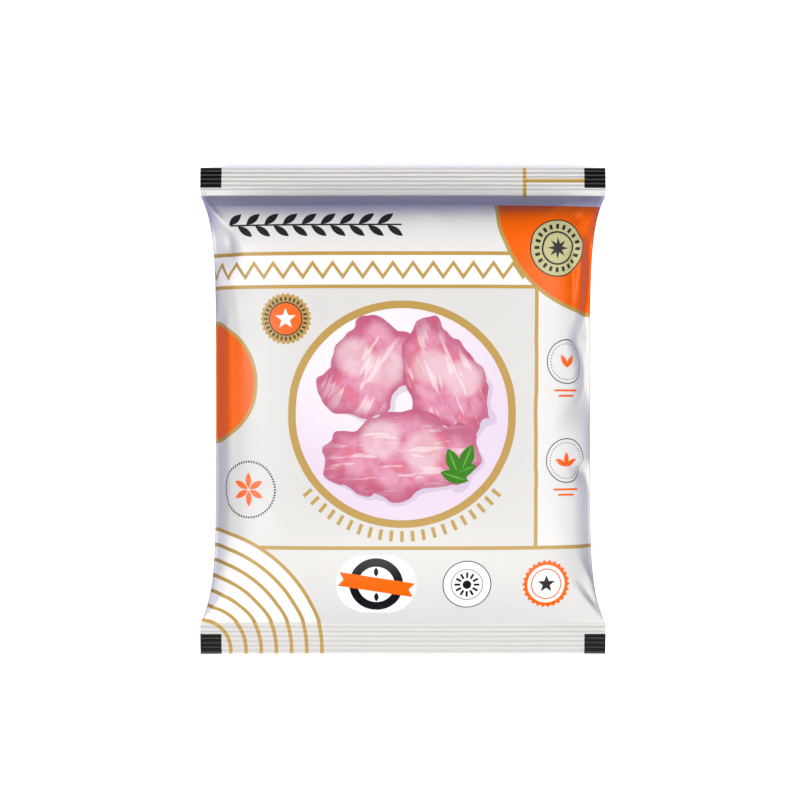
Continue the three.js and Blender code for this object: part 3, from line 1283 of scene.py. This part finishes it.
@dataclass(frozen=True)
class WrapPrint:
    """The fields and lines that run round both sides of the pack.

    Attributes:
        line: Width of the gold lines.
        painted_shade_fade: How far the painted shade under the top seal, a grey-violet gradient,
            takes to fade out.
        painted_shade_corner: Middle and radius of the grey-violet patch of painted shade in the top
            left corner.
        violet_and_shade_strip: Height of the grey-violet strip under the top seal, partly print and
            partly painted shade.
        band: Heights of the white band's lower and upper edge.
        low_line: Height of the lowest line.
        corner_disc: Middle and radius of the orange field under the top seal.
        side_disc: Middle and radius of the orange field on the left fold.
        arcs: Middle and radius of the arcs in the bottom left corner.
        tee: Where the two short lines on the top seal meet.
        eye_mark: Side of the black marks that a packing machine's eye reads.
        eye_lap: How far those marks run round the side folds.
        overrun: How far the fields run past the folds and the cut ends.
        lap: How far the seals' own grey laps over the body.
        root: Height of the strip of painted light at the root of the top seal, where the bulge
            shades it.
    """

    line: float = 1.8
    painted_shade_fade: float = 13.0
    painted_shade_corner: tuple[Place, float] = ((-101.0, 95.0), 19.0)
    violet_and_shade_strip: float = 6.2
    band: tuple[float, float] = (60.0, 76.0)
    low_line: float = -66.0
    corner_disc: tuple[Place, float] = ((100.0, 103.0), 56.0)
    side_disc: tuple[Place, float] = ((-100.0, 14.0), 29.0)
    arcs: tuple[Place, float] = ((-100.0, -118.0), 60.0)
    tee: Place = (60.0, 113.6)
    eye_mark: float = 10.0
    eye_lap: float = 0.5
    overrun: float = 9.0
    lap: float = 0.4
    root: float = 2.6

    def fields(self, sheet: PrintSheet, form: PackForm) -> None:
        """Prints the fields and lines of the body, with painted shade under the top seal.

        Args:
            sheet: The sheet to print on.
            form: The pack, for its flat size.
        """
        past = form.width / 2.0 + self.overrun
        half = self.line / 2.0
        low, high = self.band
        middle = (low + high) / 2.0
        sheet.box((-past, middle), (past, form.length / 2.0), Ink.SILVER)
        _, y = sheet.wires.split(sheet.place)
        # Painted shade: a grey-violet gradient that fades down from the root of the top seal, then
        # a patch of it in the top left corner
        painted_shade_fade = sheet.wires.math("MULTIPLY_ADD", y, 1.0 / self.painted_shade_fade, 1.0 - form.body_top / self.painted_shade_fade)
        sheet.ink(painted_shade_fade, Ink.DUSK)
        centre, radius = self.painted_shade_corner
        sheet.stamp(sheet.stencils.glow, centre, Ink.DUSK, Radius=radius)
        sheet.box((-past, low), (past, high), Ink.WHITE)
        sheet.stamp(
            sheet.stencils.zigzag, (0.0, middle), Ink.GOLD, "Line", Pitch=9.5, Rise=3.4, Width=1.5
        )
        for height in (low, high, self.low_line):
            sheet.box((-past, height - half), (past, height + half), Ink.GOLD)
        centre, radius = self.side_disc
        sheet.disc(centre, radius, Ink.ORANGE)
        sheet.ring(centre, radius, self.line, Ink.GOLD)
        centre, radius = self.corner_disc
        corner = sheet.mark(sheet.stencils.disc, centre, Radius=radius)
        sheet.ink(corner["Fill"], Ink.ORANGE)
        # Painted shade: the orange field darkened by the same fade under the top seal
        sheet.ink(sheet.wires.both(corner["Fill"], painted_shade_fade), Ink.BURNT_ORANGE)
        sheet.ring(centre, radius, self.line, Ink.GOLD)

    def ends(self, sheet: PrintSheet, form: PackForm) -> None:
        """Prints the seals with a strip of painted light at the top one's root, a grey-violet strip
        of print and painted shade under it, the arcs that run into the lower seal and the black
        corner marks.

        Args:
            sheet: The sheet to print on.
            form: The pack, for its flat size.
        """
        past = form.width / 2.0 + self.overrun
        end = form.length / 2.0
        beyond = end + self.overrun
        centre, radius = self.arcs
        sheet.disc(centre, radius, Ink.WHITE)
        body_top, body_bottom = form.body_top, form.body_bottom
        low = body_top - self.lap
        # A grey-violet strip under the top seal: print and painted shade
        sheet.box((-past, body_top - self.violet_and_shade_strip), (past, body_top), Ink.DUSK)
        sheet.box((-past, low), (past, beyond), Ink.SEAL_GREY)
        # Painted light: a lighter strip at the root of the top seal, where the bulge shades the
        # seal
        sheet.box((-past, low), (past, body_top + self.root), Ink.SILVER)
        sheet.box((-past, -beyond), (past, body_bottom + self.lap), Ink.SEAL_GREY)
        sheet.stamp(
            sheet.stencils.rings, centre, Ink.GOLD, "Line", Radius=radius, Pitch=7.5,
            Width=self.line,
        )
        half = self.line / 2.0
        x, y = self.tee
        sheet.box((x, y - half), (past, y + half), Ink.GOLD)
        sheet.box((x - half, body_top - 1.0), (x + half, beyond), Ink.GOLD)
        mirrored = sheet.wires.vector("ABSOLUTE", sheet.place)
        half = self.eye_mark / 2.0
        corner = (form.width / 2.0 - half, end - half)
        size = (half + self.eye_lap, half, 0.0)
        sheet.stamp(sheet.stencils.box, corner, Ink.BLACK, Place=mirrored, Half=size)


@dataclass(frozen=True)
class FrontPrint:
    """The front of the print: a round window among badges.

    Attributes:
        wrap: What runs on round the back.
        window: The window's middle.
        window_radius: The radius of the window inside its ring.
        window_ring: The width of its ring.
        column: Where the right column starts.
    """

    wrap: WrapPrint = field(default_factory=WrapPrint)
    window: Place = (-0.5, -1.5)
    window_radius: float = 51.0
    window_ring: float = 3.7
    column: float = 64.0

    def draw(self, sheet: PrintSheet, form: PackForm) -> None:
        """Prints the whole front."""
        low, _ = self.wrap.band
        past = form.width / 2.0 + self.wrap.overrun
        half = self.wrap.line / 2.0
        sheet.box((self.column, self.wrap.low_line), (past, low), Ink.SILVER)
        sheet.box((self.column - half, self.wrap.low_line), (self.column + half, low), Ink.GOLD)
        self.wrap.fields(sheet, form)
        self.draw_window(sheet)
        self.draw_sprig(sheet)
        self.draw_top_badge(sheet)
        self.draw_left_column(sheet)
        self.draw_right_column(sheet)
        self.wrap.ends(sheet, form)
        self.draw_bottom_row(sheet)

    def draw_window(self, sheet: PrintSheet) -> None:
        """Prints the window with its rays, its plate and the shapes on it."""
        x, y = self.window
        ring = self.window_radius + self.window_ring / 2.0
        rays = sheet.mark(
            sheet.stencils.rays, self.window, Count=72.0, Inner=ring + 3.4, Outer=ring + 8.6,
            Width=1.7,
        )
        below = sheet.mark(sheet.stencils.box, (x, y - 70.0), Half=(48.0, 34.3, 0.0))
        sheet.ink(sheet.wires.both(rays["Fill"], below["Fill"]), Ink.GOLD)
        plate = sheet.mark(sheet.stencils.disc, self.window, Radius=ring)
        sheet.ink(plate["Fill"], Ink.LILAC)
        glow = sheet.mark(sheet.stencils.glow, (x - 14.0, y + 30.0), Radius=62.0)
        sheet.ink(sheet.wires.both(glow["Fill"], plate["Fill"]), Ink.WHITE)
        for centre, half, turn in (
            ((x - 16.0, y + 21.0), (27.0, 19.0, 0.0), 62.0),
            ((x + 21.0, y + 16.0), (28.0, 19.0, 0.0), 112.0),
            ((x - 1.0, y - 19.0), (37.0, 20.0, 0.0), 3.0),
        ):
            self.draw_fillet(sheet, centre, half, turn)
        for centre, turn in (((x + 29.0, y - 27.0), 20.0), ((x + 31.0, y - 21.0), 68.0),
                             ((x + 24.5, y - 23.0), 112.0), ((x + 25.0, y - 30.0), -18.0)):
            sheet.leaf(centre, 7.0, 3.3, turn, Ink.GREEN)
            sheet.leaf(centre, 6.0, 0.5, turn, Ink.LEAF_LIGHT)
        sheet.ring(self.window, ring, self.window_ring, Ink.GOLD)

    def draw_fillet(
        self, sheet: PrintSheet, centre: Place, half: tuple[float, float, float], turn: float
    ) -> None:
        """Prints one rounded pink shape with its shadow, rim and streaks."""
        w, stencil, angle = sheet.wires, sheet.stencils.fillet, math.radians(turn)
        shadow = sheet.mark(stencil, (centre[0] + 1.8, centre[1] - 2.2), Half=half, Turn=angle)
        sheet.ink(w.both(shadow["Fill"], 0.55), Ink.LILAC_SHADE)
        marks = sheet.mark(stencil, centre, Half=half, Turn=angle, Grain=(0.0, 0.0, angle))
        sheet.ink(marks["Fill"], Ink.PINK)
        for name, strength, ink in (
            ("Warm", 0.4, Ink.CORAL),
            ("Shade", 0.6, Ink.LIGHT_PINK),
            ("Streak", 0.42, Ink.WHITE),
            ("Rim", 0.75, Ink.DEEP_PINK),
        ):
            sheet.ink(w.both(marks["Fill"], w.both(marks[name], strength)), ink)
        for dx, dy in ((-0.25, 0.35), (0.3, 0.05)):
            spot = (centre[0] + dx * half[0], centre[1] + dy * half[1])
            shine = sheet.mark(sheet.stencils.glow, spot, Radius=half[1] * 0.55)
            sheet.ink(w.both(shine["Fill"], 0.32), Ink.WHITE)

    def draw_sprig(self, sheet: PrintSheet) -> None:
        """Prints a long dark sprig across the top left."""
        sheet.stamp(
            sheet.stencils.sprig, (-42.0, 90.0), Ink.SOFT_BLACK, Reach=41.4, Pitch=9.0, Leaf=4.6,
            Lean=0.62,
        )

    def draw_top_badge(self, sheet: PrintSheet) -> None:
        """Prints the round pale badge in the orange corner."""
        centre = (74.0, 79.0)
        sheet.disc(centre, 14.0, Ink.SOFT_BLACK)
        sheet.disc(centre, 13.4, Ink.PALE_GREEN)
        sheet.ring(centre, 7.8, 0.9, Ink.SOFT_BLACK)
        sheet.rays(centre, 20.0, (9.4, 11.8), 1.5, Ink.SOFT_BLACK)
        sheet.star(centre, 5.4, Ink.SOFT_BLACK, points=8.0)

    def draw_left_column(self, sheet: PrintSheet) -> None:
        """Prints the rosette and the dotted ring in the left column."""
        centre = (-56.0, 44.5)
        sheet.stamp(
            sheet.stencils.rosette, centre, Ink.GOLD, Radius=12.0, Scallop=0.45, Count=30.0
        )
        sheet.rays(centre, 28.0, (8.7, 10.6), 0.9, Ink.SOFT_BLACK)
        sheet.disc(centre, 7.9, Ink.ORANGE)
        sheet.ring(centre, 7.9, 0.6, Ink.SOFT_BLACK)
        sheet.star(centre, 5.2, Ink.WHITE)
        centre = (-75.0, -38.0)
        sheet.rays(centre, 64.0, (13.0, 14.0), 0.8, Ink.SOFT_BLACK)
        for turn in (30.0, 90.0, 150.0, 210.0, 270.0, 330.0):
            sheet.leaf(beside(centre, 4.4, turn), 3.9, 1.5, turn, Ink.ORANGE)

    def draw_right_column(self, sheet: PrintSheet) -> None:
        """Prints two thin rings with a simple sign in each, over short orange bars."""
        for height, leaves in ((24.0, (60.0, 120.0)), (-24.0, (30.0, 90.0, 150.0))):
            centre = (80.0, height)
            sheet.ring(centre, 10.6, 0.5, Ink.SOFT_BLACK)
            sheet.rays(centre, 36.0, (8.4, 9.1), 0.7, Ink.LINE_GREY)
            root = (centre[0], height - 2.6)
            for turn in leaves:
                sheet.leaf(beside(root, 3.2, turn), 3.6, 1.3, turn, Ink.ORANGE)
            for reach, bar in ((7.0, height - 14.0), (4.5, height - 16.6)):
                sheet.box((80.0 - reach, bar - 0.5), (80.0 + reach, bar + 0.5), Ink.ORANGE, 0.5)

    def draw_bottom_row(self, sheet: PrintSheet) -> None:
        """Prints the three badges along the bottom."""
        stencils = sheet.stencils
        centre = (-13.0, -84.0)
        sheet.stamp(stencils.box, centre, Ink.WHITE, Half=(19.5, 14.6, 0.0), Corner=14.6)
        sheet.ring(centre, 11.0, 4.2, Ink.BLACK)
        for turn in (90.0, -90.0):
            sheet.leaf(beside(centre, 6.3, turn), 2.3, 1.1, 90.0, Ink.BLACK)
        tilt = math.radians(-9.0)
        sheet.stamp(stencils.ribbon, centre, Ink.ORANGE, Long=18.5, Wide=3.5, Turn=tilt)
        centre = (70.0, -84.0)
        sheet.stamp(
            stencils.rosette, centre, Ink.ORANGE, Radius=11.4, Scallop=0.5, Count=26.0
        )
        sheet.disc(centre, 9.4, Ink.WHITE)
        sheet.ring(centre, 7.4, 0.6, Ink.ORANGE)
        sheet.star(centre, 4.6, Ink.SOFT_BLACK)
        centre = (31.0, -84.0)
        sheet.disc(centre, 11.6, Ink.WHITE)
        sheet.ring(centre, 11.6, 0.5, Ink.SOFT_BLACK)
        sheet.ring(centre, 7.6, 0.5, Ink.LINE_GREY)
        sheet.rays(centre, 12.0, (3.3, 6.1), 1.1, Ink.BLACK)
        sheet.disc(centre, 2.1, Ink.BLACK)


@dataclass(frozen=True)
class BackPrint:
    """The back of the print: the same fields, and a blank table on each side of the fin.

    Attributes:
        wrap: What runs on round the front.
        panels: The lower left and the upper right corner of each table.
        row: Height of a table's rows.
    """

    wrap: WrapPrint = field(default_factory=WrapPrint)
    panels: tuple[tuple[Place, Place], ...] = (
        ((-66.0, -52.0), (-10.0, 46.0)), ((22.0, -52.0), (84.0, 40.0)),
    )
    row: float = 9.8

    def draw(self, sheet: PrintSheet, form: PackForm) -> None:
        """Prints the whole back."""
        self.wrap.fields(sheet, form)
        for low, high in self.panels:
            left, right, rim, half = low[0], high[0], 0.5, 0.2
            sheet.box(low, high, Ink.LINE_GREY, 3.0)
            sheet.box((left + rim, low[1] + rim), (right - rim, high[1] - rim), Ink.WHITE, 2.6)
            for i in range(1, int((high[1] - low[1]) / self.row)):
                y = low[1] + i * self.row
                sheet.box((left + 4.0, y - half), (right - 4.0, y + half), Ink.LINE_GREY)
        self.wrap.ends(sheet, form)


@dataclass(frozen=True)
class FilmFinish:
    """Satin printed plastic film.

    Attributes:
        name: The material's name.
        design: What is printed on it.
        gloss: The least and the greatest roughness.
        shine: How strongly it mirrors.
        relief: Height of its fine relief, in millimetres.
    """

    name: str
    design: FrontPrint | BackPrint
    gloss: tuple[float, float] = (0.26, 0.36)
    shine: float = 0.15
    relief: float = 0.25

    def build(self, stencils: Stencils, form: PackForm) -> bpy.types.Material:
        """Makes the material.

        Args:
            stencils: The stencils of the print.
            form: The pack, for its flat size.

        Returns:
            The material.
        """
        film = bpy.data.materials.new(self.name)
        film.use_nodes = True
        wires = Wires(film.node_tree)
        shader = film.node_tree.nodes["Principled BSDF"]
        place = wires.put("ShaderNodeUVMap", uv_map=WEB_MAP).outputs["UV"]
        crinkle = wires.put("ShaderNodeGroup", node_tree=stencils.crinkle.tree)
        wires.feed(crinkle.inputs["Place"], place)
        bump = wires.put("ShaderNodeBump")
        bump.inputs["Distance"].default_value = self.relief * MM
        wires.feed(bump.inputs["Height"], crinkle.outputs["Height"])
        low, high = self.gloss
        roughness = wires.math("MULTIPLY_ADD", crinkle.outputs["Smear"], high - low, low)
        wires.feed(shader.inputs["Roughness"], roughness)
        shader.inputs["Specular IOR Level"].default_value = self.shine
        wires.feed(shader.inputs["Normal"], bump.outputs["Normal"])
        sheet = PrintSheet(wires, stencils, place)
        self.design.draw(sheet, form)
        wires.feed(shader.inputs["Base Color"], sheet.colour)
        return film


# ---------------------------------------------------------------------------------------------
# Studio
# ---------------------------------------------------------------------------------------------


@dataclass(frozen=True)
class SoftSky:
    """A wide soft light, as far off as a sky, so that it lights the pack and the floor evenly.

    Attributes:
        name: Its name.
        source: Where it shines from, as a direction.
        strength: Its strength, in watts on each square metre.
        spread: The angle that it fills, in degrees.
        colour: Its colour.
        sheen: Whether it shows only as sheen on what is glossy.
    """

    name: str
    source: tuple[float, float, float]
    strength: float
    spread: float = 42.0
    colour: tuple[float, float, float] = (1.0, 0.975, 0.89)
    sheen: bool = False

    def build(self) -> bpy.types.Object:
        """Adds the light, turned to the pack."""
        light = bpy.data.lights.new(self.name, "SUN")
        light.angle = math.radians(self.spread)
        light.energy = self.strength
        light.color = self.colour
        lamp = bpy.data.objects.new(self.name, light)
        lamp.visible_diffuse = not self.sheen
        bpy.context.scene.collection.objects.link(lamp)
        lamp.rotation_euler = Vector(self.source).to_track_quat("Z", "Y").to_euler()
        return lamp


@dataclass
class Studio:
    """The floor, the lights, the surroundings and the camera.

    Attributes:
        floor_size: Side of the floor, in metres.
        floor_colour: The floor as the camera sees it.
        floor_bounce: The floor as it lights the pack from below.
        floor_glow: How much the floor is lifted for the camera.
        around: Colour of the dim light from all round.
        around_strength: Its strength.
        backdrop: What the camera sees past the floor.
        camera_place: Where the camera is, in metres.
        lens: Its focal length, in millimetres.
        skies: The lights.
    """

    floor_size: float = 12.0
    floor_colour: tuple[float, float, float, float] = (0.93, 0.93, 0.94, 1.0)
    floor_bounce: tuple[float, float, float, float] = (0.20, 0.20, 0.46, 1.0)
    floor_glow: float = 0.62
    around: tuple[float, float, float, float] = (0.42, 0.43, 0.90, 1.0)
    around_strength: float = 0.17
    backdrop: tuple[float, float, float, float] = (0.97, 0.97, 0.98, 1.0)
    camera_place: tuple[float, float, float] = (0.0, 0.0039, 1.121)
    lens: float = 100.0
    skies: tuple[SoftSky, ...] = (
        SoftSky("left_sky", (-0.34, -0.42, 1.0), 2.16),
        SoftSky("right_sky", (0.34, -0.42, 1.0), 2.34),
        SoftSky("left_sheen", (-0.85, -0.12, 1.0), 2.3, 26.0, (1.0, 1.0, 1.0), True),
        SoftSky("right_sheen", (0.85, -0.12, 1.0), 1.2, 26.0, (1.0, 1.0, 1.0), True),
    )

    def build(self) -> None:
        """Adds everything that isn't part of the pack."""
        self.lay_floor()
        for sky in self.skies:
            sky.build()
        self.surround()
        self.set_camera()
        bpy.context.scene.view_settings.view_transform = "Standard"

    def lay_floor(self) -> None:
        """Lays the plain pale floor that the pack lies on."""
        bpy.ops.object.select_all(action="DESELECT")
        bpy.ops.mesh.primitive_plane_add(size=self.floor_size)
        floor = bpy.context.active_object
        floor.name = "floor"
        paint = bpy.data.materials.new("floor_paint")
        paint.use_nodes = True
        shader = paint.node_tree.nodes["Principled BSDF"]
        nodes, links = paint.node_tree.nodes, paint.node_tree.links
        path = nodes.new("ShaderNodeLightPath")
        tone = nodes.new("ShaderNodeMix")
        tone.data_type = "RGBA"
        tone.inputs["A"].default_value = self.floor_bounce
        tone.inputs["B"].default_value = self.floor_colour
        links.new(path.outputs["Is Camera Ray"], tone.inputs["Factor"])
        links.new(tone.outputs["Result"], shader.inputs["Base Color"])
        glow = nodes.new("ShaderNodeMath")
        glow.operation = "MULTIPLY"
        glow.inputs[1].default_value = self.floor_glow
        links.new(path.outputs["Is Camera Ray"], glow.inputs[0])
        shader.inputs["Emission Color"].default_value = (1.0, 1.0, 1.0, 1.0)
        links.new(glow.outputs["Value"], shader.inputs["Emission Strength"])
        shader.inputs["Roughness"].default_value = 0.9
        shader.inputs["Specular IOR Level"].default_value = 0.1
        floor.data.materials.append(paint)
        floor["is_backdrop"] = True

    def surround(self) -> None:
        """Fills the room with a dim violet light, behind a pale backdrop."""
        world = bpy.data.worlds.new("studio")
        bpy.context.scene.world = world
        world.use_nodes = True
        nodes, links = world.node_tree.nodes, world.node_tree.links
        nodes.clear()
        room = nodes.new("ShaderNodeBackground")
        room.inputs["Color"].default_value = self.around
        room.inputs["Strength"].default_value = self.around_strength
        seen = nodes.new("ShaderNodeBackground")
        seen.inputs["Color"].default_value = self.backdrop
        path = nodes.new("ShaderNodeLightPath")
        either = nodes.new("ShaderNodeMixShader")
        out = nodes.new("ShaderNodeOutputWorld")
        links.new(path.outputs["Is Camera Ray"], either.inputs["Fac"])
        links.new(room.outputs["Background"], either.inputs[1])
        links.new(seen.outputs["Background"], either.inputs[2])
        links.new(either.outputs["Shader"], out.inputs["Surface"])

    def set_camera(self) -> None:
        """Looks straight down on the pack, as the photograph faces its upright front."""
        data = bpy.data.cameras.new("camera")
        data.lens = self.lens
        data.sensor_width = 36.0
        camera = bpy.data.objects.new("camera", data)
        camera.location = self.camera_place
        bpy.context.scene.collection.objects.link(camera)
        bpy.context.scene.camera = camera


def main() -> None:
    """Builds the pack and the studio in order."""
    logging.basicConfig(level=logging.INFO, format="%(message)s")
    form = PackForm()
    Studio().build()
    stencils = Stencils()
    front_film = FilmFinish("front_film", FrontPrint()).build(stencils, form)
    back_film = FilmFinish("back_film", BackPrint()).build(stencils, form)
    pieces = (
        (FilmPanel(form, Side.FRONT, "film_front").build(), front_film, "front panel"),
        (FilmPanel(form, Side.BACK, "film_back").build(), back_film, "back panel"),
        (FinSeal(form).build(), back_film, "fin seal"),
    )
    for piece, film, role in pieces:
        piece.data.materials.append(film)
        hand_over(piece, role)
    bounds = {"cad": CAD_BOUNDS, "visual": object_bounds()}
    {name: [list(c) for c in box] for name, box in bounds.items()}


if __name__ == "__main__":
    main()
